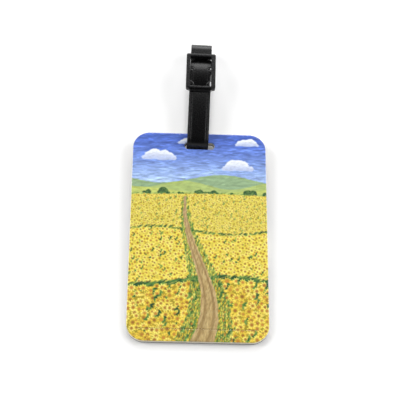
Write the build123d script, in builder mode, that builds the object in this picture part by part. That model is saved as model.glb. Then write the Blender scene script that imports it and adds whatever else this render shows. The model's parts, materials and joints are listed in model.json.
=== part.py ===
"""Luggage tag: a laminated plate with a card pocket, hung on a buckled black strap.

The tag lies face up. +X is across the plate, +Y runs from its lower edge to the strap's
loop, and +Z is up. The lower edge of the plate and the strap's rear leg rest on Z = 0.
"""

from build123d import *
import math
import os

os.makedirs("parts", exist_ok=True)

# ---- plate, in mm ----
tag_width = 70.0
tag_length = 115.0
corner_radius = 9.0
edge_round = 0.25
film_inset = 0.15

back_thickness = 0.7
window_thickness = 0.2
spacer_thickness = 0.6
front_thickness = 0.98
print_thickness = 0.2
overlay_thickness = 0.12

# ---- strap slot and the strip above it ----
strip_height = 5.75
slot_height = 3.6
slot_length = 15.5

# ---- card pocket, open along the plate's right edge ----
pocket_bottom = 6.5
pocket_top = 98.0
pocket_left = -29.0
pocket_corner = 1.5
window_margin = 4.0
window_corner = 3.0
thumb_radius = 9.0
card_width = 55.0
card_length = 90.0
card_thickness = 0.35
card_corner = 1.5
card_play = 0.5

# ---- strap ----
strap_width = 11.25
strap_thickness = 1.2
bight_inner_radius = 4.05
bight_offset = 0.6
leg_slope = 9.0
leg_end = 26.0
loop_centre = 54.6
strap_side_shift = -1.0
strap_skew = 1.6
tail_beyond_peg = 25.0
tail_gap = 0.1
foot_bend = 4.0
notch_radius = 2.2
notch_pitch = 9.0
notch_play = 0.8
notches_on_tail = 2
notches_on_loop = 1
tail_corner = 3.0

# ---- buckle frame ----
frame_width = 15.8
frame_length = 22.05
frame_thickness = 2.9
frame_corner = 0.9
frame_edge = 0.3
opening_width = 11.45
opening_shift = -0.1
opening_length = 19.2
lower_bar = 1.2
peg_reach = 2.0
peg_width = 2.2
peg_thickness = 1.1
peg_above_centre = 1.2
frame_shift = 0.25
frame_turn = 0.8
shoulder_length = 1.5
shoulder_radius = 2.2
shoulder_thickness = 1.9
tongue_width = 6.4
tongue_length = 7.0
tongue_thickness = 0.5
rivet_radius = 0.9
rivet_spacing = 3.2

# ---- levels of the plate's layers above its back face ----
window_level = back_thickness
spacer_level = window_level + window_thickness
front_level = spacer_level + spacer_thickness
print_level = front_level + front_thickness
overlay_level = print_level + print_thickness
plate_thickness = overlay_level + overlay_thickness

# ---- how the plate and the strap lie ----
bight_outer_radius = bight_inner_radius + strap_thickness
bight_mid_radius = bight_inner_radius + strap_thickness / 2
axis_along_plate = tag_length - strip_height / 2 - bight_offset
axis_level = plate_thickness / 2
plate_tilt = math.asin(bight_outer_radius / math.hypot(axis_along_plate, axis_level))
plate_tilt -= math.atan2(axis_level, axis_along_plate)
axis_from_edge = axis_along_plate * math.cos(plate_tilt) - axis_level * math.sin(plate_tilt)

skew = math.radians(strap_skew)
slope = math.radians(leg_slope)
leg_radius = (leg_end + bight_mid_radius * math.sin(slope)) / math.sin(slope)
leg_level = bight_outer_radius + bight_mid_radius * math.cos(slope)
leg_level += leg_radius * (1 - math.cos(slope))
frame_level = leg_level - strap_thickness / 2
tail_level = leg_level - strap_thickness - tail_gap
loop_radius = (tail_level - strap_thickness / 2) / 2
loop_end = loop_centre + loop_radius + strap_thickness / 2
edge_lean = (print_level - film_inset) * math.sin(plate_tilt)
overall_length = edge_lean + axis_from_edge + loop_end * math.cos(skew)
overall_length += strap_width / 2 * math.sin(skew)
edge_line = edge_lean - overall_length / 2

plate_plane = Plane(
    origin=(0, edge_line, 0),
    x_dir=(1, 0, 0),
    z_dir=(0, -math.sin(plate_tilt), math.cos(plate_tilt)),
)
axis_point = (strap_side_shift, edge_line + axis_from_edge, 0)
strap_plane = Plane(
    origin=axis_point,
    x_dir=(math.cos(skew), -math.sin(skew), 0),
    z_dir=(0, 0, 1),
)
frame_skew = skew - math.radians(frame_turn)
frame_plane = Plane(
    origin=strap_plane.from_local_coords((frame_shift, leg_end, frame_level)),
    x_dir=(math.cos(frame_skew), -math.sin(frame_skew), 0),
    z_dir=(0, 0, 1),
)
side_plane = Plane(
    origin=axis_point,
    x_dir=(math.sin(skew), math.cos(skew), 0),
    z_dir=(math.cos(skew), -math.sin(skew), 0),
)

plate_centre = (0, tag_length / 2)
slot_centre = (0, tag_length - strip_height - slot_height / 2)
pocket_middle = (pocket_bottom + pocket_top) / 2
window_left = pocket_left + window_margin
window_width = -2 * window_left
window_length = pocket_top - pocket_bottom - 2 * window_margin
card_centre = (pocket_left + card_play + card_width / 2, pocket_middle)
mouth_reach = tag_width / 2 - pocket_left + corner_radius


def plate_outline(inset=0.0):
    """Rounded rectangle of the plate, with the strap slot cut out of it."""
    with Locations(plate_centre):
        RectangleRounded(tag_width - 2 * inset, tag_length - 2 * inset, corner_radius - inset)
    with Locations(slot_centre):
        SlotOverall(slot_length, slot_height, mode=Mode.SUBTRACT)


def thumb_notch():
    """Half-round bite at the pocket's mouth, so that a thumb reaches the card."""
    with Locations((tag_width / 2, pocket_middle)):
        Circle(thumb_radius, mode=Mode.SUBTRACT)


# Back panel: dark sheet with a window onto the card.
with BuildPart() as back_panel:
    with BuildSketch(plate_plane):
        plate_outline()
        with Locations((0, pocket_middle)):
            RectangleRounded(window_width, window_length, window_corner, mode=Mode.SUBTRACT)
        thumb_notch()
    extrude(amount=back_thickness)
    rim = back_panel.faces().sort_by(Axis.Z)[0].outer_wire().edges()
    chamfer(rim, edge_round)
back_panel.part.label = "back_panel"

# Window film: clear sheet that closes the window behind the card.
with BuildPart() as window_film:
    with BuildSketch(plate_plane.offset(window_level)):
        plate_outline()
        thumb_notch()
    extrude(amount=window_thickness)
window_film.part.label = "window_film"

# Pocket spacer: three-sided frame that makes room for the card.
with BuildPart() as pocket_spacer:
    with BuildSketch(plate_plane.offset(spacer_level)):
        plate_outline()
        with Locations((pocket_left + mouth_reach / 2, pocket_middle)):
            RectangleRounded(
                mouth_reach, pocket_top - pocket_bottom, pocket_corner, mode=Mode.SUBTRACT
            )
    extrude(amount=spacer_thickness)
pocket_spacer.part.label = "pocket_spacer"

# Front panel: white sheet that carries the picture.
with BuildPart() as front_panel:
    with BuildSketch(plate_plane.offset(front_level)):
        plate_outline()
    extrude(amount=front_thickness)
    rim = front_panel.faces().sort_by(Axis.Z)[-1].outer_wire().edges()
    chamfer(rim, film_inset)
front_panel.part.label = "front_panel"

# Print sheet: thin printed film on the front panel.
with BuildPart() as print_sheet:
    with BuildSketch(plate_plane.offset(print_level)):
        plate_outline(film_inset)
    extrude(amount=print_thickness)
print_sheet.part.label = "print_sheet"

# Clear overlay: glossy film that protects the print.
with BuildPart() as clear_overlay:
    with BuildSketch(plate_plane.offset(overlay_level)):
        plate_outline(film_inset)
    extrude(amount=overlay_thickness)
clear_overlay.part.label = "clear_overlay"

# Address card: paper insert, midway between the pocket's two walls.
card_level = spacer_level + (spacer_thickness - card_thickness) / 2
with BuildPart() as address_card:
    with BuildSketch(plate_plane.offset(card_level)):
        with Locations(card_centre):
            RectangleRounded(card_width, card_length, card_corner)
    extrude(amount=card_thickness)
address_card.part.label = "address_card"

# Buckle frame: hard rectangle with two pegs, shoulders and a tongue moulded into the strap.
# Its own plane starts at the end of the strap's front leg, a little off the leg's line.
frame_centre = (0, shoulder_length + frame_length / 2)
opening_centre = (opening_shift, shoulder_length + lower_bar + opening_length / 2)
peg_row = opening_centre[1] + peg_above_centre
peg_root = opening_width / 2
peg_straight = peg_reach - peg_width / 2
tongue_level = (strap_thickness - tongue_thickness) / 2
with BuildPart() as buckle_frame:
    with BuildSketch(frame_plane):
        with Locations(frame_centre):
            RectangleRounded(frame_width, frame_length, frame_corner)
        with Locations(opening_centre):
            Rectangle(opening_width, opening_length, mode=Mode.SUBTRACT)
    extrude(amount=frame_thickness)
    fillet(buckle_frame.faces().sort_by(Axis.Z)[-1].outer_wire().edges(), frame_edge)
    with BuildSketch(frame_plane):
        for side in (-1, 1):
            inner = (side * strap_width / 2 - frame_shift, 0)
            outer = (side * frame_width / 2, shoulder_length)
            with BuildLine():
                RadiusArc(inner, outer, side * shoulder_radius)
                Polyline(outer, (0, shoulder_length), (0, 0), inner)
            make_face()
    extrude(amount=shoulder_thickness)
    with BuildSketch(frame_plane):
        for side in (-1, 1):
            with Locations((opening_shift + side * peg_root, peg_row)):
                Rectangle(2 * peg_straight, peg_width)
            with Locations((opening_shift + side * (peg_root - peg_straight), peg_row)):
                Circle(peg_width / 2)
    extrude(amount=peg_thickness)
    with BuildSketch(frame_plane.offset(tongue_level)):
        with Locations((-frame_shift, -tongue_length / 2)):
            Rectangle(tongue_width, tongue_length)
            with GridLocations(1, rivet_spacing, 1, 2):
                Circle(rivet_radius, mode=Mode.SUBTRACT)
    extrude(amount=tongue_thickness)
buckle_frame.part.label = "buckle_frame"

# Strap: one band from the buckle, through the slot, round to the buckle and out as a tail.
crest_level = frame_level + peg_thickness / 2
rise = crest_level - tail_level
peg_line = leg_end + peg_row
opening_start = leg_end + shoulder_length + lower_bar
opening_end = opening_start + opening_length
far_turn = 2 * math.atan(rise / (opening_end - peg_line))
near_turn = 2 * math.atan(rise / (peg_line - opening_start))
far_bend = (opening_end - peg_line) / math.sin(far_turn) - foot_bend
near_bend = (peg_line - opening_start) / math.sin(near_turn) - foot_bend
tail_radius = leg_radius - strap_thickness - tail_gap
tail_tip = peg_line - tail_beyond_peg
tail_turn = math.degrees(math.asin((leg_end - tail_tip) / tail_radius))
with BuildPart() as strap:
    # returning end: under the top bar, over the pegs' line, under the lower bar and the leg
    with BuildSketch(side_plane):
        with BuildLine():
            under_top_bar = Line((loop_centre, tail_level), (opening_end, tail_level))
            far_foot = JernArc(
                under_top_bar @ 1, under_top_bar % 1, foot_bend, -math.degrees(far_turn)
            )
            far_crest = JernArc(far_foot @ 1, far_foot % 1, far_bend, math.degrees(far_turn))
            near_crest = JernArc(
                far_crest @ 1, far_crest % 1, near_bend, math.degrees(near_turn)
            )
            near_foot = JernArc(
                near_crest @ 1, near_crest % 1, foot_bend, -math.degrees(near_turn)
            )
            under_bar = Line(near_foot @ 1, (leg_end, tail_level))
            JernArc(under_bar @ 1, under_bar % 1, tail_radius, tail_turn)
        trace(line_width=strap_thickness)
    extrude(amount=strap_width / 2, both=True)
    # its outline from above: round tip, and notches in both edges that the pegs sit in
    with BuildSketch(strap_plane) as return_outline:
        with Locations((0, (tail_tip + loop_centre) / 2)):
            Rectangle(strap_width, loop_centre - tail_tip)
        fillet(return_outline.vertices().group_by(Axis.Y)[0], tail_corner)
        for step in range(-notches_on_tail, notches_on_loop + 1):
            notch_line = peg_line + notch_play + step * notch_pitch
            with Locations((-strap_width / 2, notch_line), (strap_width / 2, notch_line)):
                Circle(notch_radius, mode=Mode.SUBTRACT)
    extrude(amount=crest_level + strap_thickness, mode=Mode.INTERSECT)
    # front leg, bight round the plate's strip, rear leg and loop
    with BuildSketch(side_plane):
        with BuildLine():
            bight = CenterArc(
                (0, bight_outer_radius), bight_mid_radius, 90 + leg_slope, 180 - leg_slope
            )
            JernArc(bight @ 0, -(bight % 0), leg_radius, -leg_slope)
            rear_leg = Line(bight @ 1, (loop_centre, strap_thickness / 2))
            JernArc(rear_leg @ 1, rear_leg % 1, loop_radius, 180)
        trace(line_width=strap_thickness)
    extrude(amount=strap_width / 2, both=True)
    # the buckle's tongue is moulded into the end of the front leg
    add(buckle_frame.part, mode=Mode.SUBTRACT)
strap.part.label = "strap"

for piece in (
    back_panel,
    window_film,
    pocket_spacer,
    front_panel,
    print_sheet,
    clear_overlay,
    address_card,
    buckle_frame,
    strap,
):
    export_step(piece.part, f"parts/{piece.part.label}.step")

print(f"plate tilt {math.degrees(plate_tilt):.3f} deg, overall length {overall_length:.3f}")
print(f"axis at {axis_point[1]:.3f}, level {bight_outer_radius:.3f}")
print(f"frame level {frame_level:.3f}, tail level {tail_level:.3f}, loop radius {loop_radius:.3f}")
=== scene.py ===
"""Luggage tag: the looks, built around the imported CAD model.

Lengths are in millimetres in each piece's own frame, and a matrix places them in metres.
The plate's frame has its origin at the middle of the lower back edge, +Y up the plate and
+Z out of the picture. The strap's frame has its origin under the hinge, +Y along the band.
"""

import json
import math

import bmesh
import bpy
import numpy as np
from mathutils import Matrix, Quaternion, Vector
from mathutils.geometry import delaunay_2d_cdt


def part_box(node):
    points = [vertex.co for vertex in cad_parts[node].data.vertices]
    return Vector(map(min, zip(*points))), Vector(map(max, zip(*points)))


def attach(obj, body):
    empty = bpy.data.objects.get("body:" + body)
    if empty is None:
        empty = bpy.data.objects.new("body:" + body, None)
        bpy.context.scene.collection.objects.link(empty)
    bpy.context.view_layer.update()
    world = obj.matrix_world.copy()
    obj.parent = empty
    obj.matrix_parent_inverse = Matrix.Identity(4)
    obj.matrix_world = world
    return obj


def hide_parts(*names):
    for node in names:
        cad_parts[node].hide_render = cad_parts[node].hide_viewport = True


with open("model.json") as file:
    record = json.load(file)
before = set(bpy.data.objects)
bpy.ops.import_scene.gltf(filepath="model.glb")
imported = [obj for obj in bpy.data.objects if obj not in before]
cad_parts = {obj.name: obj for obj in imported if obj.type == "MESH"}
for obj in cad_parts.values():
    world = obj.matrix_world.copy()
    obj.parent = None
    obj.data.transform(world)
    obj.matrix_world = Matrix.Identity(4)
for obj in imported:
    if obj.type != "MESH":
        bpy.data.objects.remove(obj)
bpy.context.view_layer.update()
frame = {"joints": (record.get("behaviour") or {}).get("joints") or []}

MM = 0.001
random = np.random.default_rng(7)

# ---- plate, in mm ----
CORNER = 9.0
STRIP = 5.75
SLOT_HEIGHT = 3.6
SLOT_LENGTH = 15.5
BIGHT_OFFSET = 0.6
BACK = 0.7
FILM = 0.2
SPACER = 0.6
FRONT = 0.98
PRINT = 0.2
OVERLAY = 0.12
THICKNESS = BACK + FILM + SPACER + FRONT + PRINT + OVERLAY
FILM_INSET = 0.15
POCKET_LEFT = -29.0
POCKET_BOTTOM = 6.5
POCKET_TOP = 98.0
POCKET_CORNER = 1.5
WINDOW_MARGIN = 4.0
WINDOW_CORNER = 3.0
THUMB = 9.0
CREASE_SIDE = 29.4

# ---- strap and buckle, in mm ----
BAND = 1.2
BIGHT_INNER = 4.05
LEG_SLOPE = math.radians(9.0)
LEG_END = 26.0
LOOP_CENTRE = 54.6
TAIL_GAP = 0.1
FOOT_BEND = 4.0
TAIL_BEYOND_PEG = 25.0
TAIL_CORNER = 3.0
STRAP_WIDTH = 11.25
NOTCH = 2.2
NOTCH_PITCH = 9.0
NOTCH_PLAY = 0.8
FRAME_WIDTH = 15.8
FRAME_LENGTH = 22.05
FRAME_THICKNESS = 2.9
FRAME_CORNER = 0.9
OPENING_WIDTH = 11.45
OPENING_SHIFT = -0.1  # to the left of the frame's middle
OPENING_LENGTH = 19.2
LOWER_BAR = 1.2
SHOULDER_LENGTH = 1.5
SHOULDER_RADIUS = 2.2
SHOULDER_THICKNESS = 1.9
FRAME_SHIFT = 0.25
FRAME_TURN = math.radians(0.8)
PEG_REACH = 2.0
PEG_WIDTH = 2.2
PEG_THICKNESS = 1.1
PEG_ABOVE_CENTRE = 1.2

# ---- places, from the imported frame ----
swing = next(j for j in frame["joints"] if j["name"] == "strap_swing")
hinge = Vector(swing["pos_m"]) / MM
skew = -math.atan2(swing["axis"][1], swing["axis"][0])
panel_low, panel_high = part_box("front_panel")
WIDTH = (panel_high.x - panel_low.x) / MM
axis_level = THICKNESS / 2
LENGTH = round((panel_high.y - panel_low.y) / MM, 0)  # the box is a hair short of it, for the tilt
axis_along = LENGTH - STRIP / 2 - BIGHT_OFFSET
tilt = math.asin(hinge.z / math.hypot(axis_along, axis_level)) - math.atan2(axis_level, axis_along)
edge_line = hinge.y - axis_along * math.cos(tilt) + axis_level * math.sin(tilt)

plate_frame = (
    Matrix.Scale(MM, 4)
    @ Matrix.Translation((0, edge_line, 0))
    @ Matrix.Rotation(tilt, 4, "X")
)
strap_frame = (
    Matrix.Scale(MM, 4)
    @ Matrix.Translation((hinge.x, hinge.y, 0))
    @ Matrix.Rotation(-skew, 4, "Z")
)


# =====================================================================================
# Painting: a canvas of colours, worked out in code, that the print's mesh takes on
# =====================================================================================
PITCH = 0.25
canvas_x = np.arange(-WIDTH / 2, WIDTH / 2 + PITCH / 2, PITCH)
canvas_y = np.arange(0, LENGTH + PITCH / 2, PITCH)
grid_x, grid_y = np.meshgrid(canvas_x, canvas_y)
canvas = np.ones(grid_x.shape + (3,))


def colour(r, g, b):
    """A display colour, 0 to 255, as an array from 0 to 1."""
    return np.array((r, g, b)) / 255


def shades(*tones):
    """Several colours, each from its three numbers."""
    return [colour(*tone) for tone in tones]


def smooth(edge_low, edge_high, value):
    """0 below edge_low, 1 above edge_high, and a smooth step between them."""
    t = np.clip((value - edge_low) / (edge_high - edge_low), 0, 1)
    return t * t * (3 - 2 * t)


def noise(x, y, size, seed):
    """Smooth value noise from -1 to 1, with bumps of about that size."""
    lattice = np.random.default_rng(seed).uniform(-1, 1, (64, 64))
    u, v = np.asarray(x) / size + 17.3, np.asarray(y) / size + 9.1
    i, j = np.floor(u).astype(int), np.floor(v).astype(int)
    s, t = smooth(0, 1, u - i), smooth(0, 1, v - j)
    low = lattice[j % 64, i % 64] * (1 - s) + lattice[j % 64, (i + 1) % 64] * s
    high = lattice[(j + 1) % 64, i % 64] * (1 - s) + lattice[(j + 1) % 64, (i + 1) % 64] * s
    return low * (1 - t) + high * t


def lay(mask, paint):
    """Covers the whole canvas with paint as far as mask, from 0 to 1, says."""
    canvas[:] = canvas * (1 - mask[..., None]) + paint * mask[..., None]


def window(x, y, reach):
    """The canvas within reach of a point, and its cells' offsets from that point."""
    i0 = max(int((x - reach - canvas_x[0]) / PITCH), 0)
    i1 = max(int((x + reach - canvas_x[0]) / PITCH) + 2, 0)
    j0 = max(int((y - reach) / PITCH), 0)
    j1 = max(int((y + reach) / PITCH) + 2, 0)
    part = (slice(j0, j1), slice(i0, i1))
    return canvas[part], grid_x[part] - x, grid_y[part] - y


def dab(x, y, angle, length, width, paint, strength=0.9):
    """One brush stroke: a soft-edged lozenge of paint along angle."""
    part, dx, dy = window(x, y, length / 2 + PITCH)
    along = (dx * math.cos(angle) + dy * math.sin(angle)) / (length / 2)
    across = (dy * math.cos(angle) - dx * math.sin(angle)) / (width / 2)
    mask = strength * smooth(1.3, 0.6, np.sqrt(along**2 + across**2))[..., None]
    part[:] = part * (1 - mask) + paint * mask


def from_stretch(x, y, start, end):
    """How far the points x, y are from the straight stretch between two points."""
    (x0, y0), (x1, y1) = start, end
    length = math.hypot(x1 - x0, y1 - y0)
    ux, uy = (x1 - x0) / length, (y1 - y0) / length
    t = np.clip((x - x0) * ux + (y - y0) * uy, 0, length)
    return np.hypot(x - x0 - t * ux, y - y0 - t * uy)


def disc(x, y, radius):
    """1 inside a circle, with a soft edge, and 0 outside."""
    distance = np.hypot(grid_x - x, grid_y - y)
    return smooth(radius + PITCH / 2, radius - PITCH / 2, distance)


def line(start, end, width, paint, strength=1.0):
    """A painted line between two points."""
    distance = from_stretch(grid_x, grid_y, start, end)
    lay(strength * smooth(width / 2 + PITCH / 2, width / 2 - PITCH / 2, distance), paint)


def at(field, x, y):
    """The value of a field of the canvas at a point."""
    i = min(max(int(round((x - canvas_x[0]) / PITCH)), 0), len(canvas_x) - 1)
    j = min(max(int(round(y / PITCH)), 0), len(canvas_y) - 1)
    return field[j, i]


def scatter(mask, spacing):
    """Points on a loose grid, far rows first, wherever mask is over a half."""
    for y in np.arange(LENGTH + spacing, -spacing, -0.85 * spacing):
        for x in np.arange(-WIDTH / 2 - spacing, WIDTH / 2 + spacing, spacing):
            px, py = x + random.uniform(-0.45, 0.45) * spacing, y + random.uniform(-0.4, 0.4) * spacing
            if at(mask, px, py) > 0.5:
                yield px, py


def strokes(mask, spacing, length, width, paints, flow, strength=0.75):
    """Brush strokes all over mask, each in one of the paints and along flow(x, y)."""
    for x, y in scatter(mask, spacing):
        paint = paints[random.integers(len(paints))] * random.uniform(0.95, 1.05)
        size = random.uniform(0.6, 1.3)
        dab(x, y, flow(x, y) + random.normal(0, 0.15), length * size, width * size, paint, strength)


def flower(x, y, radius, petal, heart):
    """One flower head: a ring of petals round a brown heart."""
    part, dx, dy = window(x, y, radius * 1.3)
    distance = np.hypot(dx, dy) / radius
    bearing = np.arctan2(dy, dx) + random.uniform(0, 6.28)
    rim = 0.82 + 0.18 * np.cos(9 * bearing)
    petals = smooth(rim + 0.12, rim - 0.12, distance)[..., None]
    shade = (0.84 + 0.2 * smooth(0.3, 0.85, distance) + 0.05 * np.cos(9 * bearing))[..., None]
    part[:] = part * (1 - 0.92 * petals) + np.clip(petal * shade, 0, 1) * 0.92 * petals
    middle = 0.85 * smooth(0.46, 0.26, distance)[..., None]
    part[:] = part * (1 - middle) + heart * middle


def field(mask, spacing, radius, petals, ground, leaves, leafy):
    """A flower field: ground, leaves between the flowers, then the flowers, far ones first."""
    lay(mask, ground)
    strokes(mask, spacing * 0.8, radius * 1.3, radius * 0.6, petals, lambda x, y: 0.5)
    for x, y in scatter(mask, spacing):
        petal = petals[random.integers(len(petals))]
        heart = colour(186, 134, 62) * random.uniform(0.85, 1.12)
        flower(x, y, radius * random.uniform(0.8, 1.15), petal, heart)
        if random.uniform() < leafy:
            turn = random.uniform(0, 3.14)
            for step in (-0.5, 0.1, 0.6):
                leaf = leaves[random.integers(len(leaves))]
                leaf_x, leaf_y = x + (0.5 + 0.3 * step) * spacing, y + step * radius
                dab(leaf_x, leaf_y, turn + 1.7 * step, radius * 1.25, radius * 0.55, leaf)


# ---- the picture: a plain landscape of no real place, in mm up from the plate's foot ----
HORIZON = 80.0
HILLS = (  # each ridge's wave: its middle, height, length and phase, then its colour
    (88.0, 2.6, 64.0, 0.4, (150, 176, 138)),
    (84.5, 2.2, 47.0, 2.6, (172, 190, 120)),
    (81.5, 1.4, 78.0, 4.4, (186, 198, 112)),
)
CLOUDS = ((-21, 99, 9.5), (20, 93.5, 8.5), (25, 108, 6.5), (-6, 108.5, 5.5))  # x, base and half width
PUFFS = 7
TREE_PITCH = 1.5
SMALLEST_TREE = 0.7
PATH_FOOT = 5.2  # half of the path's width, at the plate's foot and at its far end
PATH_TOP = 0.5
PATH_END = HORIZON - 2


def wave(middle, height, length, start):
    """The level of a rolling line, for each of the canvas's cells."""
    return middle + height * np.sin(2 * math.pi * grid_x / length + start)


def below(level):
    """1 below a level line, with a soft edge, and 0 above it."""
    return smooth(level + PITCH, level - PITCH, grid_y)


def brushed(mask, spacing, length, width, slope, spread, strength=0.6):
    """Strokes in the canvas's own colour, each lighter or darker by up to spread."""
    for x, y in scatter(mask, spacing):
        paint = np.clip(at(canvas, x, y) * random.uniform(1 - spread, 1 + spread), 0, 1)
        angle = slope + random.normal(0, 0.14)
        dab(x, y, angle, length * random.uniform(0.6, 1.3), width, paint, strength)


def paint_sky():
    """Blue sky, paler towards the horizon, brushed in long level strokes."""
    height = smooth(HORIZON, LENGTH, grid_y)[..., None]
    canvas[:] = colour(176, 200, 243) * (1 - height) + colour(84, 112, 198) * height
    above = smooth(HORIZON, HORIZON + 1, grid_y)
    brushed(above, 1.5, 6.5, 0.9, 0.04, 0.13)
    brushed(above, 1.1, 3.4, 0.45, 0.04, 0.16)


def paint_clouds():
    """Plain rounded clouds: rows of puffs on a level base, shaded underneath."""
    for x, base, half in CLOUDS:
        cloud = np.zeros(grid_x.shape)
        for k in range(PUFFS):
            across = 2 * k / (PUFFS - 1) - 1
            radius = half * (0.42 - 0.26 * across**2) * random.uniform(0.72, 1.12)
            cloud = np.maximum(cloud, disc(x + 0.8 * half * across, base + 0.7 * radius, radius))
        cloud *= smooth(base - 0.5, base + 0.5, grid_y + 0.4 * noise(grid_x, grid_y, 2.5, 5))
        lay(0.9 * cloud, colour(240, 244, 252))
        lay(0.5 * cloud * smooth(base + 0.5 * half, base, grid_y), colour(140, 160, 216))
        brushed(cloud, 0.8, 1.9, 0.5, 0.3, 0.07)


def paint_hills():
    """Rolling green hills, the farthest first."""
    for middle, height, length, start, tone in HILLS:
        hill = below(wave(middle, height, length, start)) * smooth(HORIZON - 8, HORIZON - 6, grid_y)
        lay(hill, colour(*tone))
        brushed(hill, 1.1, 3.6, 0.7, 0.08, 0.09)


def paint_trees():
    """Clumps of round-headed trees where the fields meet the hills."""
    crowns = np.zeros(grid_x.shape)
    for x in np.arange(-34, 35, TREE_PITCH):
        clump = 0.7 + 0.8 * math.sin(0.27 * x + 0.6) + 0.7 * math.sin(0.71 * x + 2)
        radius = clump + random.uniform(-0.3, 0.3)
        if radius > SMALLEST_TREE:
            crown = disc(x + random.uniform(-0.5, 0.5), HORIZON - 1 + 0.7 * radius, radius)
            crowns = np.maximum(crowns, crown)
    lay(crowns, colour(84, 116, 70))
    greens = shades((70, 100, 60), (102, 134, 76), (126, 156, 86), (58, 86, 58))
    strokes(crowns, 0.55, 0.8, 0.4, greens, lambda x, y: 0.9, 0.75)


def paint_fields():
    """Flower fields in three bands that grow larger towards the plate's foot, with hedges between."""
    far_leaves = shades((122, 150, 80), (96, 128, 70), (150, 170, 92))
    leaves = shades((92, 132, 68), (66, 104, 58), (124, 154, 76), (52, 88, 56))
    far = shades((225, 211, 102), (211, 196, 82), (233, 221, 120))
    mid = shades((242, 220, 102), (230, 208, 84), (248, 229, 122))
    near = shades((240, 212, 96), (230, 200, 78), (246, 222, 114), (220, 186, 72))
    bands = (
        (wave(HORIZON - 1, 0.5, 90, 1.0), 1.35, 0.75, far, colour(216, 198, 92), far_leaves, 0.12),
        (wave(58, 2.0, 74, 3.4), 1.95, 1.16, mid, colour(214, 194, 84), leaves, 0.14),
        (wave(30, 2.2, 88, 0.6), 3.0, 1.95, near, colour(176, 156, 58), leaves, 0.24),
    )
    for top, spacing, radius, petals, ground, greens, leafy in bands:
        hedge = below(top + 1.2 * radius) * (1 - below(top - radius))
        strokes(hedge, 1.1, 2.0 * radius, 0.5 * radius, greens, lambda x, y: 0.5, 0.8)
        field(below(top), spacing, radius, petals, ground, greens, leafy)


def paint_path():
    """A sandy path that winds from the plate's foot to the horizon, with grass along it."""
    rise = np.clip(grid_y / HORIZON, 0, 1)
    middle = 10 * np.sin(4.2 * rise + 0.5) * (1 - 0.6 * rise) - 3
    half = PATH_FOOT * (1 - rise) ** 1.3 + PATH_TOP
    away = np.abs(grid_x - middle)
    short_of_top = below(PATH_END)
    verge = away + 0.5 * noise(grid_x, grid_y, 1.5, 3)
    grass = smooth(2.6 * half, 2.3 * half, verge) * short_of_top
    greens = shades((104, 142, 72), (78, 116, 60), (136, 160, 84))
    strokes(grass, 0.9, 1.7, 0.45, greens, lambda x, y: 1.3, 0.85)
    sand = smooth(half + 0.3, half - 0.3, away + 0.35 * noise(grid_x, grid_y, 2.0, 8)) * short_of_top
    lay(sand, colour(190, 166, 116))
    tones = shades((176, 148, 98), (202, 180, 132), (158, 134, 90))
    strokes(sand, 0.9, 2.4, 0.4, tones, lambda x, y: 1.35, 0.6)
    rut = smooth(0.2, 0.08, np.abs(away / half - 0.5)) * sand
    lay(0.45 * rut, colour(140, 116, 76))


paint_sky()
paint_clouds()
paint_hills()
paint_trees()
paint_fields()
paint_path()


def blurred(values, reach):
    """A copy of the canvas averaged over a square of 2 * reach + 1 cells."""
    width = 2 * reach + 1
    for axis in (0, 1):
        pad = [(0, 0)] * 3
        pad[axis] = (reach + 1, reach)
        total = np.cumsum(np.pad(values, pad, mode="edge"), axis=axis)
        ends = np.take(total, range(width, total.shape[axis]), axis=axis)
        starts = np.take(total, range(0, total.shape[axis] - width), axis=axis)
        values = (ends - starts) / width
    return values


def sharpen(reach, amount, veil):
    """Lifts the strokes out of their surroundings, and deepens the darks by veil."""
    canvas[:] = canvas + amount * (canvas - blurred(canvas, reach))
    canvas[:] = np.clip(canvas - veil * (1 - canvas), 0, 1)


sharpen(6, 0.38, 0.06)
# A dark line painted along the pocket's foot crease: painted shade, so that the pressed-in crease reads
# darker.
line((-CREASE_SIDE, POCKET_BOTTOM), (CREASE_SIDE, POCKET_BOTTOM), 0.5, colour(120, 96, 30), 0.4)


# =====================================================================================
# Materials: shader nodes, in millimetres of the object's own frame
# =====================================================================================
def add(tree, kind, sockets, **settings):
    """One shader node. Each of its sockets gets a value or another node's output."""
    node = tree.nodes.new("ShaderNode" + kind)
    for name, value in settings.items():
        setattr(node, name, value)
    for name, value in sockets.items():
        if isinstance(value, bpy.types.NodeSocket):
            tree.links.new(value, node.inputs[name])
        else:
            node.inputs[name].default_value = value
    return node


def material(name, base, roughness, specular=0.5):
    """A new material, its node tree, its shader and the place on the object in mm."""
    made = bpy.data.materials.new(name)
    made.use_nodes = True
    tree = made.node_tree
    shader = tree.nodes["Principled BSDF"]
    shader.inputs["Base Color"].default_value = (*base, 1)
    shader.inputs["Roughness"].default_value = roughness
    shader.inputs["Specular IOR Level"].default_value = specular
    place = add(tree, "TexCoord", {}).outputs["Object"]
    return made, tree, shader, add(tree, "Mapping", {"Vector": place, "Scale": (1000,) * 3}).outputs[0]


def stretched(tree, place, scale):
    """The place with each axis scaled on its own, for streaks."""
    return add(tree, "Mapping", {"Vector": place, "Scale": scale}).outputs[0]


def noise_of(tree, place, scale, detail=3, low=0.0, high=1.0):
    """Noise with that many bumps per mm, spread from low to high."""
    fac = add(tree, "TexNoise", {"Vector": place, "Scale": scale, "Detail": detail}).outputs["Fac"]
    sockets = {"Value": fac, "From Min": 0.3, "From Max": 0.7, "To Min": low, "To Max": high}
    return add(tree, "MapRange", sockets).outputs["Result"]


def blend_of(tree, factor, first, second, kind="MIX"):
    """Two colours or outputs mixed by a factor."""
    return add(tree, "Mix", {0: factor, 6: first, 7: second}, data_type="RGBA", blend_type=kind).outputs[2]


def maths(tree, operation, *values):
    """The result of a maths node on values or outputs."""
    return add(tree, "Math", dict(enumerate(values)), operation=operation).outputs[0]


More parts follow.
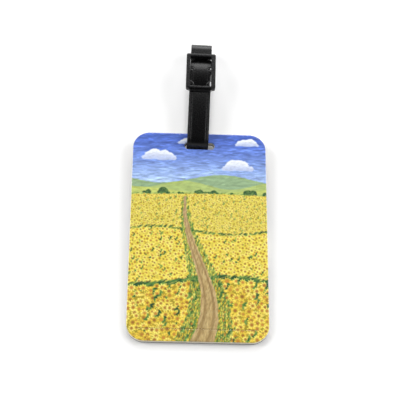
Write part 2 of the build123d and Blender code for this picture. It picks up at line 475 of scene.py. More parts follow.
def bump_of(tree, height, distance, strength=1.0, normal=None):
    """A bump whose height of 1 stands for distance, in mm."""
    sockets = {"Height": height, "Distance": distance * MM, "Strength": strength}
    if normal is not None:
        sockets["Normal"] = normal
    return add(tree, "Bump", sockets).outputs["Normal"]


def print_material():
    """The picture's ink: colours from the painting, mottled, on a faintly uneven film."""
    made, tree, shader, place = material("picture_print", (0.6, 0.5, 0.2), 0.5, 0.35)
    ink = add(tree, "Attribute", {}, attribute_name="picture").outputs["Color"]
    grain = noise_of(tree, place, 5.0, 4)
    mottle = blend_of(tree, grain, (0.42, 0.40, 0.38, 1), (1, 1, 1, 1))
    inked = blend_of(tree, 0.10, ink, mottle, "OVERLAY")
    tree.links.new(inked, shader.inputs["Base Color"])
    tree.links.new(noise_of(tree, place, 1.2, 3, 0.42, 0.58), shader.inputs["Roughness"])
    tree.links.new(bump_of(tree, grain, 0.004, 0.6), shader.inputs["Normal"])
    return made


SHEEN = 0.55  # how much of the clear films' full reflection shows


def clear_material(name, tint, roughness, ripple):
    """Clear film: see-through, with a reflection that grows towards grazing angles."""
    made, tree, shader, place = material(name, tint, roughness)
    tree.nodes.remove(shader)
    output = tree.nodes["Material Output"]
    waves = noise_of(tree, stretched(tree, place, (1, 0.4, 1)), ripple, 2)
    fine = noise_of(tree, place, 3.0, 3)
    normal = bump_of(tree, fine, 0.002, 0.5, bump_of(tree, waves, 0.05, 0.5))
    clear = add(tree, "BsdfTransparent", {"Color": (*tint, 1)}).outputs[0]
    rough = noise_of(tree, place, 0.6, 3, roughness * 0.85, roughness * 1.15)
    sockets = {"Color": (1, 1, 1, 1), "Roughness": rough, "Normal": normal}
    gloss = add(tree, "BsdfGlossy", sockets).outputs[0]
    fresnel = add(tree, "Fresnel", {"IOR": 1.45, "Normal": normal}).outputs[0]
    behind = add(tree, "NewGeometry", {}).outputs["Backfacing"]
    front = maths(tree, "SUBTRACT", 1.0, behind)
    facing = maths(tree, "MULTIPLY", fresnel, front)
    amount = maths(tree, "MULTIPLY", facing, SHEEN)
    mixed = add(tree, "MixShader", {0: amount, 1: clear, 2: gloss}).outputs[0]
    tree.links.new(mixed, output.inputs["Surface"])
    return made


def white_material(name, base):
    """White PVC sheet: faintly mottled, a little yellow, with cutter lines on its edges."""
    made, tree, shader, place = material(name, base, 0.42)
    cloud = noise_of(tree, place, 0.12, 4)
    aged = tuple(c * k for c, k in zip(base, (0.97, 0.94, 0.86)))
    tree.links.new(blend_of(tree, cloud, (*base, 1), (*aged, 1)), shader.inputs["Base Color"])
    cuts = noise_of(tree, stretched(tree, place, (0.4, 0.4, 12)), 1.0, 3)
    tree.links.new(bump_of(tree, cuts, 0.02, 0.6), shader.inputs["Normal"])
    tree.links.new(noise_of(tree, place, 0.8, 3, 0.36, 0.5), shader.inputs["Roughness"])
    return made


def back_material():
    """Dark PVC sheet with a fine leather-like grain, rubbed a little brighter on its bumps."""
    base, rubbed = (0.060, 0.046, 0.040, 1), (0.105, 0.084, 0.074, 1)
    made, tree, shader, place = material("dark_sheet", base[:3], 0.5)
    cells = add(tree, "TexVoronoi", {"Vector": place, "Scale": 1.5}, feature="DISTANCE_TO_EDGE")
    sockets = {"Value": cells.outputs["Distance"], "From Min": 0.0, "From Max": 0.28}
    bumps = add(tree, "MapRange", sockets).outputs["Result"]
    wear = noise_of(tree, place, 0.10, 4, 0.0, 0.6)
    amount = maths(tree, "MULTIPLY", bumps, wear)
    tree.links.new(blend_of(tree, amount, base, rubbed), shader.inputs["Base Color"])
    pores = noise_of(tree, place, 6.0, 3)
    tree.links.new(bump_of(tree, pores, 0.01, 0.5, bump_of(tree, bumps, 0.05, 0.8)), shader.inputs["Normal"])
    tree.links.new(noise_of(tree, place, 0.5, 3, 0.42, 0.6), shader.inputs["Roughness"])
    return made


RULE_PITCH = 9.0  # between one ruled line and the next
RULE_WIDTH = 0.28
RULE_MARGIN = 21.0


def card_material():
    """Uncoated card with printed ruled lines to write on, a margin each side and paper fibres."""
    paper, fibre, ink = (0.86, 0.85, 0.80, 1), (0.74, 0.72, 0.66, 1), (0.20, 0.24, 0.34, 1)
    made, tree, shader, place = material("paper_card", paper[:3], 0.85, 0.2)
    fibres = noise_of(tree, stretched(tree, place, (2.2, 0.8, 1)), 1.4, 5)
    spots = noise_of(tree, place, 0.25, 3, 0.0, 0.5)
    sheet_colour = blend_of(tree, spots, paper, blend_of(tree, fibres, paper, fibre))
    axes = add(tree, "SeparateXYZ", {"Vector": place}).outputs
    phase = maths(tree, "PINGPONG", axes["Y"], RULE_PITCH / 2)
    rule = maths(tree, "LESS_THAN", phase, RULE_WIDTH / 2)
    across = maths(tree, "ABSOLUTE", axes["X"])
    within = maths(tree, "LESS_THAN", across, RULE_MARGIN)
    drawn = maths(tree, "MULTIPLY", rule, within)
    worn = noise_of(tree, place, 2.0, 3, 0.7, 1.0)
    faded = maths(tree, "MULTIPLY", drawn, worn)
    tree.links.new(blend_of(tree, faded, sheet_colour, ink), shader.inputs["Base Color"])
    tree.links.new(bump_of(tree, fibres, 0.015, 0.7), shader.inputs["Normal"])
    return made


def black_material(name, base, worn, roughness, streaks, grain):
    """Black plastic: fine lengthwise streaks, a soft grain, and rubbed edges a little lighter."""
    made, tree, shader, place = material(name, base, roughness, 0.3)
    edge = add(tree, "NewGeometry", {}).outputs["Pointiness"]
    rub = add(tree, "MapRange", {"Value": edge, "From Min": 0.5, "From Max": 0.56}).outputs["Result"]
    patchy = maths(tree, "MULTIPLY", rub, noise_of(tree, place, 0.9, 4))
    dust = noise_of(tree, place, 5.0, 5, -1.6, 0.5)
    speckled = blend_of(tree, add(tree, "Clamp", {"Value": dust}).outputs[0], (*base, 1), (*worn, 1))
    tree.links.new(blend_of(tree, patchy, speckled, (*worn, 1)), shader.inputs["Base Color"])
    lines = noise_of(tree, stretched(tree, place, (1, 0.04, 1)), streaks, 3)
    pores = noise_of(tree, place, grain, 4)
    normal = bump_of(tree, pores, 0.012, 0.5, bump_of(tree, lines, 0.02, 0.5))
    tree.links.new(normal, shader.inputs["Normal"])
    gloss = noise_of(tree, place, 1.6, 5, roughness * 0.9, roughness * 1.15)
    tree.links.new(gloss, shader.inputs["Roughness"])
    return made


# =====================================================================================
# Meshes
# =====================================================================================
def new_object(name, data):
    """An object in the scene with that data."""
    made = bpy.data.objects.new(name, data)
    bpy.context.scene.collection.objects.link(made)
    return made


def put(name, body, node, points, faces, matrix, look, sharp=math.radians(38)):
    """One piece: a mesh set down in metres, riding its body and standing for its node."""
    mesh = bpy.data.meshes.new(name)
    mesh.from_pydata([matrix @ Vector(p) for p in points], [], faces)
    mesh.validate()
    mesh.shade_smooth()
    mesh.set_sharp_from_angle(angle=sharp)
    mesh.materials.append(look)
    made = new_object(name, mesh)
    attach(made, body)
    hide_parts(node)
    return made


def arc(x, y, radius, start, end, steps):
    """Points of an arc, its angles in degrees, both ends included."""
    angles = np.radians(np.linspace(start, end, steps + 1))
    return [(x + radius * math.cos(a), y + radius * math.sin(a)) for a in angles]


def divided(loop, step):
    """A closed loop with no stretch longer than step."""
    points = []
    for (x0, y0), (x1, y1) in zip(loop, loop[1:] + loop[:1]):
        count = max(int(math.ceil(math.hypot(x1 - x0, y1 - y0) / step)), 1)
        points += [(x0 + (x1 - x0) * k / count, y0 + (y1 - y0) * k / count) for k in range(count)]
    return points


def rectangle(x, y, width, length, radius, steps=10):
    """A rounded rectangle about a point, counterclockwise."""
    a, b = width / 2 - radius, length / 2 - radius
    corners = ((a, -b, -90), (a, b, 0), (-a, b, 90), (-a, -b, 180))
    return [p for dx, dy, turn in corners for p in arc(x + dx, y + dy, radius, turn, turn + 90, steps)]


def outline(inset=0.0, bite=False):
    """The plate's outline, counterclockwise, with or without the thumb's bite on its right."""
    a, b = WIDTH / 2 - CORNER, LENGTH - CORNER
    r = CORNER - inset
    loop = arc(a, CORNER, r, -90, 0, 24)
    if bite:
        loop += arc(WIDTH / 2, pocket_middle, THUMB + inset, 270, 90, 36)
    return loop + arc(a, b, r, 0, 90, 24) + arc(-a, b, r, 90, 180, 24) + arc(-a, CORNER, r, 180, 270, 24)


def slot_hole(inset=0.0):
    """The strap slot, clockwise."""
    reach, radius = (SLOT_LENGTH - SLOT_HEIGHT) / 2, SLOT_HEIGHT / 2 + inset
    return (arc(reach, slot_line, radius, 90, -90, 16) + arc(-reach, slot_line, radius, -90, -270, 16))


def inward(loop, amount):
    """A loop moved by amount into the material on its left."""
    points = np.array(loop)
    ahead = np.roll(points, -1, axis=0) - np.roll(points, 1, axis=0)
    normal = np.stack((-ahead[:, 1], ahead[:, 0]), axis=1)
    return points + amount * normal / np.linalg.norm(normal, axis=1)[:, None]


def within(points, loops):
    """Which points are inside the outer loop and outside the holes."""
    x, y = points[:, 0], points[:, 1]
    odd = np.zeros(len(points), bool)
    for loop in loops:
        following = np.roll(loop, -1, axis=0)
        for (x0, y0), (x1, y1) in zip(loop, following):
            if y0 != y1:
                crossing = (y - y0) * (x1 - x0) / (y1 - y0) + x0
                odd ^= ((y0 > y) != (y1 > y)) & (x < crossing)
    return odd


FINER_REACH = 0.42  # plain grid lines nearer than this to a finer line give way
FINER_OFFSETS = (-0.36, -0.24, -0.12, 0, 0.12, 0.24, 0.36)


def steps_along(low, high, spacing, finer=()):
    """Grid lines from low to high, with a few extra ones close to each finer line."""
    lines = list(np.arange(low, high, spacing))
    for centre in finer:
        lines = [v for v in lines if abs(v - centre) > FINER_REACH]
        lines += [centre + offset for offset in FINER_OFFSETS]
    return np.array(sorted(lines))


def filled(loops, spacing, finer_x=(), finer_y=()):
    """Points and triangles that fill the outer loop less the holes; the loops' points come first."""
    rim = np.concatenate(loops)
    edges = []
    start = 0
    for loop in loops:
        edges += [(start + k, start + (k + 1) % len(loop)) for k in range(len(loop))]
        start += len(loop)
    points = rim
    if spacing:
        low, high = rim.min(axis=0), rim.max(axis=0)
        columns = steps_along(low[0] + spacing / 2, high[0], spacing, finer_x)
        rows = steps_along(low[1] + spacing / 2, high[1], spacing, finer_y)
        mesh_x, mesh_y = np.meshgrid(columns, rows)
        inner = np.stack((mesh_x.ravel(), mesh_y.ravel()), axis=1)
        moved = [inward(loop, 0.45 * spacing) for loop in loops]
        points = np.concatenate((rim, inner[within(inner, moved)]))
    result = delaunay_2d_cdt([Vector(p) for p in points], edges, [], 0, 1e-5)
    placed = np.array([tuple(v) for v in result[0]])
    faces = np.array(result[2])
    keep = within(placed[faces].mean(axis=1), loops)
    return placed, faces[keep]


def sheet(loops, low, high, bevel, spacing, drop=None, finer_x=(), finer_y=(), rounds=3):
    """A closed sheet between two levels, rounded along its rims; drop(x, y) lowers its points."""
    bevel = min(bevel, 0.499 * (high - low))
    angles = np.linspace(0, math.pi / 2, rounds + 1)
    profile = [(bevel * (1 - math.sin(a)), high - bevel * (1 - math.cos(a))) for a in angles]
    profile += [(bevel * (1 - math.cos(a)), low + bevel * (1 - math.sin(a))) for a in angles]
    loops = [np.array(loop) for loop in loops]
    edge = [inward(loop, bevel) for loop in loops]
    upper, upper_faces = filled(edge, spacing, finer_x, finer_y)
    lower, lower_faces = filled(edge, None if drop else spacing)
    count = sum(len(loop) for loop in loops)
    points = [(x, y, high) for x, y in upper] + [(x, y, low) for x, y in lower]
    faces = [tuple(f) for f in upper_faces] + [tuple(f[::-1] + len(upper)) for f in lower_faces]
    rings = [list(range(count))]
    for inset, level in profile[1:-1]:
        rings.append(list(range(len(points), len(points) + count)))
        points += [(x, y, level) for loop in loops for x, y in inward(loop, inset)]
    rings.append(list(range(len(upper), len(upper) + count)))
    start = 0
    for loop in loops:
        for k in range(len(loop)):
            here, after = start + k, start + (k + 1) % len(loop)
            faces += [(a[here], b[here], b[after], a[after]) for a, b in zip(rings, rings[1:])]
        start += len(loop)
    if drop:
        array = np.array(points)
        array[:, 2] -= drop(array[:, 0], array[:, 1])
        points = array.tolist()
    return points, faces


# ---- the plate's shape ----
pocket_middle = (POCKET_BOTTOM + POCKET_TOP) / 2
slot_line = LENGTH - STRIP - SLOT_HEIGHT / 2
ROLL = 0.5
ROLL_DROP = 0.2
CREASE_DEPTH = 0.14
CREASE_SIDE_SHARE = 0.6  # of the foot's depth
CREASE_REACH = 0.2
CREASE_TOP = 96.0


def edge_distance(x, y):
    """How far points on the plate are from its outline or its slot, whichever is nearer."""
    dx = np.abs(x) - (WIDTH / 2 - CORNER)
    dy = np.abs(y - LENGTH / 2) - (LENGTH / 2 - CORNER)
    corner = np.hypot(np.maximum(dx, 0), np.maximum(dy, 0)) + np.minimum(np.maximum(dx, dy), 0)
    reach = (SLOT_LENGTH - SLOT_HEIGHT) / 2
    slot = np.hypot(np.maximum(np.abs(x) - reach, 0), y - slot_line) - SLOT_HEIGHT / 2
    return np.minimum(CORNER - corner, slot)


def crease(x, y):
    """Depth of the lines pressed in along the pocket's sides and foot."""
    side = from_stretch(np.abs(x), y, (CREASE_SIDE, POCKET_BOTTOM), (CREASE_SIDE, CREASE_TOP))
    foot = from_stretch(x, y, (-CREASE_SIDE, POCKET_BOTTOM), (CREASE_SIDE, POCKET_BOTTOM))
    sides = CREASE_SIDE_SHARE * np.exp(-((side / CREASE_REACH) ** 2))
    return CREASE_DEPTH * np.maximum(sides, np.exp(-((foot / CREASE_REACH) ** 2)))


def face_drop(x, y):
    """How the picture side sinks: rolled over at its rims and pressed in along the creases."""
    rim = np.clip(1 - edge_distance(x, y) / ROLL, 0, 1)
    return ROLL_DROP * rim**2 + crease(x, y)


def lines_of_crease():
    """Where a grid across the plate has to be fine."""
    return {"finer_x": (-CREASE_SIDE, CREASE_SIDE), "finer_y": (POCKET_BOTTOM,)}


FINE = 0.32  # between the points of a sheet's mesh
COARSE = 1.6
RIM_STEP = 1.0  # the longest stretch of a sheet's outline, and of its slot's
SLOT_STEP = 0.5
SKIN_GAP = 0.012


def make_picture():
    """The printed sheet, with the painting on its points as a colour attribute."""
    loops = [divided(outline(), 0.5), divided(slot_hole(), 0.4)]
    loops = [inward(loop, FILM_INSET).tolist() for loop in loops]
    low = BACK + FILM + SPACER + FRONT + SKIN_GAP
    high = low + PRINT - SKIN_GAP
    points, faces = sheet(loops, low, high, 0.08, FINE, face_drop, **lines_of_crease(), rounds=2)
    made = put("picture_sheet", "tag", "print_sheet", points, faces, plate_frame, print_material())
    array = np.array(points)
    u = np.clip((array[:, 0] - canvas_x[0]) / PITCH, 0, len(canvas_x) - 1.001)
    v = np.clip(array[:, 1] / PITCH, 0, len(canvas_y) - 1.001)
    i, j = u.astype(int), v.astype(int)
    s, t = (u - i)[:, None], (v - j)[:, None]
    seen = (canvas[j, i] * (1 - s) + canvas[j, i + 1] * s) * (1 - t)
    seen += (canvas[j + 1, i] * (1 - s) + canvas[j + 1, i + 1] * s) * t
    linear = np.where(seen <= 0.04045, seen / 12.92, ((seen + 0.055) / 1.055) ** 2.4)
    attribute = made.data.color_attributes.new("picture", "FLOAT_COLOR", "POINT")
    attribute.data.foreach_set("color", np.concatenate((linear, np.ones((len(linear), 1))), axis=1).ravel())


def make_overlay():
    """The clear film over the picture, which follows its rims and creases."""
    loops = [divided(outline(), RIM_STEP), divided(slot_hole(), SLOT_STEP)]
    loops = [inward(loop, FILM_INSET).tolist() for loop in loops]
    low = BACK + FILM + SPACER + FRONT + PRINT + SKIN_GAP
    high = low + OVERLAY - SKIN_GAP
    points, faces = sheet(loops, low, high, 0.05, 0.9, face_drop, **lines_of_crease(), rounds=2)
    look = clear_material("clear_film", (0.995, 0.995, 0.99), 0.22, 0.05)
    put("clear_film", "tag", "clear_overlay", points, faces, plate_frame, look)


def make_front():
    """The white sheet under the picture, whose cut edge shows all round."""
    loops = [divided(outline(), RIM_STEP), divided(slot_hole(), SLOT_STEP)]
    low = BACK + FILM + SPACER
    points, faces = sheet(loops, low, low + FRONT, 0.34, COARSE, crease, **lines_of_crease())
    array = np.array(points)
    array[:, 2] = np.maximum(array[:, 2], low)
    look = white_material("white_front", (0.80, 0.77, 0.68))
    put("front_sheet", "tag", "front_panel", array.tolist(), faces, plate_frame, look)


def make_spacer():
    """The three-sided sheet that makes the pocket, open to the right."""
    r = POCKET_CORNER
    a, b = WIDTH / 2 - CORNER, LENGTH - CORNER
    left, foot, top = POCKET_LEFT + r, POCKET_BOTTOM + r, POCKET_TOP - r
    loop = [(WIDTH / 2, POCKET_TOP)] + arc(a, b, CORNER, 0, 90, 24) + arc(-a, b, CORNER, 90, 180, 24)
    foot_turn = 360 + math.degrees(math.asin((POCKET_BOTTOM - CORNER) / CORNER))
    loop += arc(-a, CORNER, CORNER, 180, 270, 24) + arc(a, CORNER, CORNER, 270, foot_turn, 20)
    loop += arc(left, foot, r, 270, 180, 6) + arc(left, top, r, 180, 90, 6)
    low = BACK + FILM
    loops = [divided(loop, 1.5), divided(slot_hole(), 0.6)]
    points, faces = sheet(loops, low, low + SPACER, 0.05, COARSE, rounds=1)
    look = white_material("white_spacer", (0.72, 0.69, 0.61))
    put("pocket_frame", "tag", "pocket_spacer", points, faces, plate_frame, look)


def make_window():
    """The clear film behind the card, bitten away for a thumb at the pocket's mouth."""
    loops = [divided(outline(0.12, True), RIM_STEP), divided(slot_hole(0.1), 0.6)]
    points, faces = sheet(loops, BACK + SKIN_GAP, BACK + FILM - SKIN_GAP, 0.06, COARSE, rounds=2)
    look = clear_material("clear_window", (0.97, 0.98, 0.98), 0.09, 0.08)
    put("window_sheet", "tag", "window_film", points, faces, plate_frame, look)


WELD_SIDE = 27.2
WELD_FOOT = POCKET_BOTTOM - 2
WELD_TOP = POCKET_TOP - 0.5
WELD_REACH = 0.7
WELD_DEPTH = 0.16
UNDERSIDE = 0.1  # the back sheet's points below this level are on its outer face


def make_back():
    """The dark back sheet, with the window and a welded line pressed in round the pocket."""
    width = -2 * (POCKET_LEFT + WINDOW_MARGIN)
    length = POCKET_TOP - POCKET_BOTTOM - 2 * WINDOW_MARGIN
    hole = rectangle(0, pocket_middle, width, length, WINDOW_CORNER)
    loops = [divided(outline(0, True), RIM_STEP), divided(slot_hole(), SLOT_STEP)]
    loops.append(divided(hole[::-1], RIM_STEP))
    points, faces = sheet(loops, 0.0, BACK, 0.22, 0.8)
    array = np.array(points)
    x, y = array[:, 0], array[:, 1]
    distance = from_stretch(np.abs(x), y, (WELD_SIDE, WELD_FOOT), (WELD_SIDE, WELD_TOP))
    for level in (WELD_FOOT, WELD_TOP):
        distance = np.minimum(distance, from_stretch(x, y, (-WELD_SIDE, level), (WELD_SIDE, level)))
    weld = np.exp(-((distance / WELD_REACH) ** 2))
    array[:, 2] += np.where(array[:, 2] < UNDERSIDE, WELD_DEPTH * weld, 0)
    put("back_sheet", "tag", "back_panel", array.tolist(), faces, plate_frame, back_material())


CARD_WIDTH = 55.0
CARD_LENGTH = 90.0
CARD_THICKNESS = 0.35
CARD_CORNER = 1.5
CARD_PLAY = 0.5
CARD_BOW = 0.09


def make_card():
    """The paper card in the pocket, bowed a little across its width."""
    middle = POCKET_LEFT + CARD_PLAY + CARD_WIDTH / 2
    loop = divided(rectangle(middle, pocket_middle, CARD_WIDTH, CARD_LENGTH, CARD_CORNER, 6), 1.5)
    low = BACK + FILM + (SPACER - CARD_THICKNESS) / 2
    points, faces = sheet([loop], low, low + CARD_THICKNESS, 0.06, 2.2, rounds=1)
    array = np.array(points)
    across = (array[:, 0] - middle) / (CARD_WIDTH / 2)
    along = (array[:, 1] - pocket_middle) / (CARD_LENGTH / 2)
    array[:, 2] += CARD_BOW * (0.5 - across**2) + 0.02 * np.sin(5 * along + 2 * across)
    put("paper_card", "card", "address_card", array.tolist(), faces, plate_frame, card_material())


# =====================================================================================
# Strap: one band swept along its side view, from the tail's tip to the buckle
# =====================================================================================
outer_radius = BIGHT_INNER + BAND
mid_radius = BIGHT_INNER + BAND / 2
leg_radius = (LEG_END + mid_radius * math.sin(LEG_SLOPE)) / math.sin(LEG_SLOPE)
leg_level = outer_radius + mid_radius * math.cos(LEG_SLOPE) + leg_radius * (1 - math.cos(LEG_SLOPE))
frame_level = leg_level - BAND / 2
tail_level = leg_level - BAND - TAIL_GAP
loop_radius = (tail_level - BAND / 2) / 2
opening_start = LEG_END + SHOULDER_LENGTH + LOWER_BAR
opening_end = opening_start + OPENING_LENGTH
peg_line = opening_start + OPENING_LENGTH / 2 + PEG_ABOVE_CENTRE
rise = frame_level + PEG_THICKNESS / 2 - tail_level
far_turn = 2 * math.atan(rise / (opening_end - peg_line))
near_turn = 2 * math.atan(rise / (peg_line - opening_start))
far_bend = (opening_end - peg_line) / math.sin(far_turn) - FOOT_BEND
near_bend = (peg_line - opening_start) / math.sin(near_turn) - FOOT_BEND
tail_tip = peg_line - TAIL_BEYOND_PEG
tail_radius = leg_radius - BAND - TAIL_GAP
tail_turn = math.asin((LEG_END - tail_tip) / tail_radius)

ROUTE = (  # length and turn of each stretch, from the tail's tip
    (tail_radius * tail_turn, -tail_turn),
    (opening_start - LEG_END, 0),
    (FOOT_BEND * near_turn, near_turn),
    (near_bend * near_turn, -near_turn),
    (far_bend * far_turn, -far_turn),
    (FOOT_BEND * far_turn, far_turn),
    (LOOP_CENTRE - opening_end, 0),
    (loop_radius * math.pi, -math.pi),
    (LOOP_CENTRE, 0),
    (mid_radius * (math.pi - LEG_SLOPE), LEG_SLOPE - math.pi),
    (leg_radius * LEG_SLOPE, -LEG_SLOPE),
)
route_start = (tail_tip, tail_level - tail_radius * (1 - math.cos(tail_turn)))
route_length = sum(length for length, turn in ROUTE)
returning_length = sum(length for length, turn in ROUTE[:7])


def on_route(distance):
    """The band's middle line in its side view at a distance from the tip: place and heading."""
    (u, z), heading = route_start, tail_turn
    for length, turn in ROUTE:
        step = min(distance, length)
        bend = turn * step / length
        chord = step if abs(bend) < 1e-9 else 2 * length / turn * math.sin(bend / 2)
        u += chord * math.cos(heading + bend / 2)
        z += chord * math.sin(heading + bend / 2)
        heading += bend
        distance -= step
        if distance <= 0:
            break
    return u, z, heading


HALVINGS = 40


def distance_at(u):
    """How far along the returning end the band passes over u, by halving."""
    low, high = 0.0, returning_length
    for _ in range(HALVINGS):
        middle = (low + high) / 2
        low, high = (middle, high) if on_route(middle)[0] < u else (low, middle)
    return (low + high) / 2


EDGE = 0.28
FIXED_HALF = 3.2  # the band's middle keeps its section this far out, even at a notch
GROOVES = (1.8, 0.8)  # how far each fine line is from the band's edge
GROOVE_DEPTH = 0.07
GROOVE_HALF = 0.13
END_ROUNDING = 0.26
ROUNDING_MARKS = (0.03, 0.08, 0.16, END_ROUNDING)
NOTCH_LINES = [peg_line + NOTCH_PLAY + step * NOTCH_PITCH for step in range(-2, 2)]
STATION_STEP = 1.2
STATION_TURN = math.radians(2.5)
CLOSEST_STATIONS = 0.012


def band_section():
    """Right half of the band's upper face: distance from the middle, and how deep it is cut."""
    half = [(0, 0), (1.0, 0), (2.2, 0), (FIXED_HALF, 0)]
    for from_edge in GROOVES:
        x = STRAP_WIDTH / 2 - from_edge
        for share, cut in ((-1, 0), (-0.5, 0.8), (0, 1), (0.5, 0.8), (1, 0)):
            half.append((x + share * GROOVE_HALF, cut))
    return half + [(STRAP_WIDTH / 2 - EDGE - 0.12, 0)]


def band_ring(half_width, inset):
    """The band's section as a closed ring of x, z: grooves squeeze up where a notch narrows it."""
    half_width -= inset
    thickness = BAND / 2 - inset
    room = (half_width - EDGE - FIXED_HALF) / (STRAP_WIDTH / 2 - EDGE - FIXED_HALF)
    squeeze = np.clip(room, 0.03, 1)
    depth = GROOVE_DEPTH * min(max(room, 0), 1)
    flat = [(x if x <= FIXED_HALF else FIXED_HALF + (x - FIXED_HALF) * squeeze, thickness - depth * cut)
            for x, cut in band_section()]
    flat = [(x * min(1, (half_width - EDGE) / FIXED_HALF), z) for x, z in flat]
    corner = [(half_width - EDGE + EDGE * math.sin(a), thickness - EDGE + EDGE * math.cos(a))
              for a in np.radians((0, 22, 45, 68, 90))]
    right = flat + corner
    lower = [(x, -z) for x, z in right[::-1]]
    side = right + lower
    return side + [(-x, z) for x, z in side[::-1][1:-1]]


def half_width_at(u, distance):
    """Half of the band's width: narrower round the tip and in the notches of the returning end."""
    half = STRAP_WIDTH / 2
    if distance < TAIL_CORNER:
        half -= TAIL_CORNER - math.sqrt(max(TAIL_CORNER**2 - (TAIL_CORNER - distance) ** 2, 0))
    if distance < returning_length:
        for notch_line in NOTCH_LINES:
            away = abs(u - notch_line)
            if away < NOTCH:
                half = min(half, STRAP_WIDTH / 2 - math.sqrt(NOTCH**2 - away**2))
    return half


def stations():
    """Distances along the band where it has a ring: close at bends, notches and both ends."""
    marks = [TAIL_CORNER * (1 - math.cos(a)) for a in np.linspace(0, math.pi / 2, 14)]
    marks += ROUNDING_MARKS
    marks += [route_length - d for d in (0, *ROUNDING_MARKS)]
    for notch_line in NOTCH_LINES:
        angles = np.linspace(-math.pi / 2, math.pi / 2, 27)
        marks += [distance_at(notch_line + NOTCH * math.sin(a)) for a in angles]
    start = 0.0
    for length, turn in ROUTE:
        count = max(math.ceil(length / STATION_STEP), math.ceil(abs(turn) / STATION_TURN), 1)
        marks += [start + length * k / count for k in range(count + 1)]
        start += length
    kept = []
    for mark in sorted(marks):
        if not kept or mark - kept[-1] > CLOSEST_STATIONS:
            kept.append(mark)
    return kept


def make_strap():
    """The soft black band, with its notches, rounded tip and fine lines along both edges."""
    points, faces = [], []
    marks = stations()
    for mark in marks:
        u, z, heading = on_route(mark)
        near_end = min(mark, route_length - mark)
        inset = 0.9 * EDGE * (1 - math.sqrt(1 - (1 - min(near_end / END_ROUNDING, 1)) ** 2))
        ring = band_ring(half_width_at(u, mark), inset)
        points += [(x, u - h * math.sin(heading), z + h * math.cos(heading)) for x, h in ring]
    count = len(ring)
    for k in range(len(marks) - 1):
        for i in range(count):
            a, b = k * count + i, k * count + (i + 1) % count
            faces.append((a, a + count, b + count, b))
    faces.append(tuple(range(count)))
    faces.append(tuple(reversed(range((len(marks) - 1) * count, len(marks) * count))))
    look = black_material("soft_black", (0.0022, 0.0022, 0.0024), (0.008, 0.008, 0.0085), 0.27, 2.2, 4.0)
    made = put("strap_band", "strap", "strap", points, faces, strap_frame, look)
    mend_normals(made)


def mend_normals(made):
    """Turns a closed mesh's faces outwards."""
    work = bmesh.new()
    work.from_mesh(made.data)
    bmesh.ops.recalc_face_normals(work, faces=work.faces)
    work.to_mesh(made.data)
    work.free()


# =====================================================================================
# Buckle
# =====================================================================================
frame_place = Vector((FRAME_SHIFT, LEG_END, frame_level))
SHOULDER_ROOT = 1.0  # how far the shoulders reach into the frame, and in from its sides
SHOULDER_ROOT_INSET = 0.4
HOLLOW_INSET = 0.12  # where a shoulder's hollow edge meets the frame
HOLLOW_RISE = 0.42
PEG_ROOT = 0.4  # how far a peg reaches into its side bar
SHELL_LIFT = 0.02  # keeps the joined shells' undersides apart, for a clean union


def joined(shells):
    """Closed shells made one by exact booleans, as points and faces."""
    objects = []
    for points, faces in shells:
        mesh = bpy.data.meshes.new("shell")
        mesh.from_pydata(points, [], faces)
        objects.append(new_object("shell", mesh))
        mend_normals(objects[-1])
    first, others = objects[0], objects[1:]
    for other in others:
        union = first.modifiers.new("union", "BOOLEAN")
        union.operation = "UNION"
        union.solver = "EXACT"
        union.object = other
    bpy.context.view_layer.update()
    done = bpy.data.meshes.new_from_object(first.evaluated_get(bpy.context.evaluated_depsgraph_get()))
    result = [tuple(v.co) for v in done.vertices], [tuple(p.vertices) for p in done.polygons]
    for made in objects:
        mesh = made.data
        bpy.data.objects.remove(made)
        bpy.data.meshes.remove(mesh)
    bpy.data.meshes.remove(done)
    return result


def peg(side):
    """One peg: a round-ended tongue that reaches into the opening from a side bar."""
    root = OPENING_WIDTH / 2 + PEG_ROOT
    tip = OPENING_WIDTH / 2 - PEG_REACH + PEG_WIDTH / 2
    y = SHOULDER_LENGTH + LOWER_BAR + OPENING_LENGTH / 2 + PEG_ABOVE_CENTRE
    half = PEG_WIDTH / 2
    angles = np.linspace(0, math.pi, 17)
    end = [(-tip + half * math.sin(a), y - half * math.cos(a)) for a in angles]
    ring = [(-root, y - half), *end, (-root, y + half)]
    if side > 0:
        ring = [(-px, py) for px, py in ring[::-1]]
    ring = [(px + OPENING_SHIFT, py) for px, py in ring]
    return sheet([divided(ring, 0.5)], SHELL_LIFT, PEG_THICKNESS, 0.3, None)


def shoulders():
    """The two filleted shoulders where the frame grows out of the band, and the bar between."""
    side = FRAME_WIDTH / 2 - SHOULDER_ROOT_INSET
    top = SHOULDER_LENGTH + SHOULDER_ROOT
    loop = hollow(1) + [(side, top), (-side, top)] + hollow(-1)[::-1]
    return sheet([divided(loop, 0.6)], SHELL_LIFT, SHOULDER_THICKNESS, 0.22, None)


def hollow(side):
    """A shoulder's edge: a shallow hollow arc from the band's edge out to the frame's corner."""
    x0, y0 = STRAP_WIDTH / 2 - side * FRAME_SHIFT, 0.0
    x1, y1 = FRAME_WIDTH / 2 - HOLLOW_INSET, SHOULDER_LENGTH + HOLLOW_RISE
    half_turn = math.asin(math.hypot(x1 - x0, y1 - y0) / 2 / SHOULDER_RADIUS)
    middle_x, middle_y = (x0 + x1) / 2, (y0 + y1) / 2
    bearing = math.atan2(y1 - y0, x1 - x0)
    reach = SHOULDER_RADIUS * math.cos(half_turn)
    centre_x, centre_y = middle_x + reach * math.sin(bearing), middle_y - reach * math.cos(bearing)
    start = math.atan2(y0 - centre_y, x0 - centre_x)
    angles = np.linspace(start, start - 2 * half_turn, 12)
    return [(side * (centre_x + SHOULDER_RADIUS * math.cos(a)), centre_y + SHOULDER_RADIUS * math.sin(a))
            for a in angles]


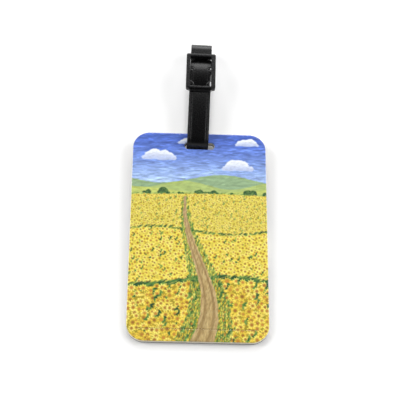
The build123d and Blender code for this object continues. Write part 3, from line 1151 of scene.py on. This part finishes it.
def make_buckle():
    """The hard black frame with its two pegs and shoulders, moulded as one."""
    centre = SHOULDER_LENGTH + FRAME_LENGTH / 2
    opening = SHOULDER_LENGTH + LOWER_BAR + OPENING_LENGTH / 2
    body = rectangle(0, centre, FRAME_WIDTH, FRAME_LENGTH, FRAME_CORNER, 8)
    hole = rectangle(OPENING_SHIFT, opening, OPENING_WIDTH, OPENING_LENGTH, 0.35, 4)
    loops = [divided(body, 0.8), divided(hole[::-1], 0.8)]
    frame_shell = sheet(loops, 0, FRAME_THICKNESS, 0.2, None, rounds=4)
    points, faces = joined([frame_shell, peg(-1), peg(1), shoulders()])
    matrix = strap_frame @ Matrix.Translation(frame_place) @ Matrix.Rotation(FRAME_TURN, 4, "Z")
    look = black_material("hard_black", (0.006, 0.006, 0.0063), (0.03, 0.03, 0.032), 0.27, 1.2, 3.0)
    put("buckle", "strap", "buckle_frame", points, faces, matrix, look, math.radians(28))


# =====================================================================================
# Studio
# =====================================================================================
CAMERA_BACK = 174.09
CAMERA_LEFT = 19.4
CAMERA_UP = 482.92
AIM = Vector((0.7, edge_line + 78.6, 0))
CAMERA_ROLL = math.radians(5.55)
LENS = 94.5
FLOOR_HALF = 0.6  # in metres, as the lamps' sizes and places are
LAMP_SIZE = 1.0
LAMP_POWER = 14.7
LAMPS = {"left": (-1.15, 0.25, 0.80), "right": (1.15, 0.25, 0.80), "back": (0.0, 1.35, 0.75)}


def make_camera():
    """A long lens above the tag's foot, looking up along it, a little turned."""
    data = bpy.data.cameras.new("camera")
    data.lens = LENS
    data.sensor_width = 36
    camera = new_object("camera", data)
    place = Vector((-CAMERA_LEFT, edge_line - CAMERA_BACK, CAMERA_UP))
    look = (AIM - place).to_track_quat("-Z", "Y") @ Quaternion((0, 0, 1), CAMERA_ROLL)
    camera.location = place * MM
    camera.rotation_mode = "QUATERNION"
    camera.rotation_quaternion = look
    bpy.context.scene.camera = camera


def make_floor():
    """A wide pale floor."""
    mesh = bpy.data.meshes.new("floor")
    corners = ((-1, -1), (1, -1), (1, 1), (-1, 1))
    mesh.from_pydata([(x * FLOOR_HALF, y * FLOOR_HALF, 0) for x, y in corners], [], [(0, 1, 2, 3)])
    look, _, shader, _ = material("pale_floor", (0.93, 0.93, 0.93), 0.8, 0.1)
    shader.inputs["Emission Color"].default_value = (1, 1, 1, 1)
    shader.inputs["Emission Strength"].default_value = 0.10
    mesh.materials.append(look)
    floor = new_object("floor", mesh)


def make_lamp(name, place):
    """A square soft light that faces the origin."""
    data = bpy.data.lights.new(name, "AREA")
    data.size = LAMP_SIZE
    data.energy = LAMP_POWER
    lamp = new_object(name, data)
    lamp.location = place
    lamp.rotation_euler = (Vector() - Vector(place)).to_track_quat("-Z", "Y").to_euler()


def make_world(wall, ceiling):
    """White walls that fade upwards to a dark ceiling."""
    world = bpy.data.worlds.new("studio")
    world.use_nodes = True
    tree = world.node_tree
    direction = add(tree, "TexCoord", {}).outputs["Generated"]
    height = add(tree, "SeparateXYZ", {"Vector": direction}).outputs["Z"]
    sockets = {"Value": height, "From Min": 0.30, "From Max": 0.50, "To Min": wall, "To Max": ceiling}
    glow = add(tree, "MapRange", sockets, interpolation_type="SMOOTHSTEP").outputs["Result"]
    background = tree.nodes["Background"]
    background.inputs["Color"].default_value = (1, 1, 1, 1)
    tree.links.new(glow, background.inputs["Strength"])
    bpy.context.scene.world = world


make_camera()
make_floor()
make_world(0.95, 0.04)
for lamp_name, lamp_place in LAMPS.items():
    make_lamp(lamp_name, lamp_place)
bpy.context.scene.view_settings.view_transform = "Standard"

make_back()
make_window()
make_spacer()
make_front()
make_picture()
make_overlay()
make_card()
make_strap()
make_buckle()
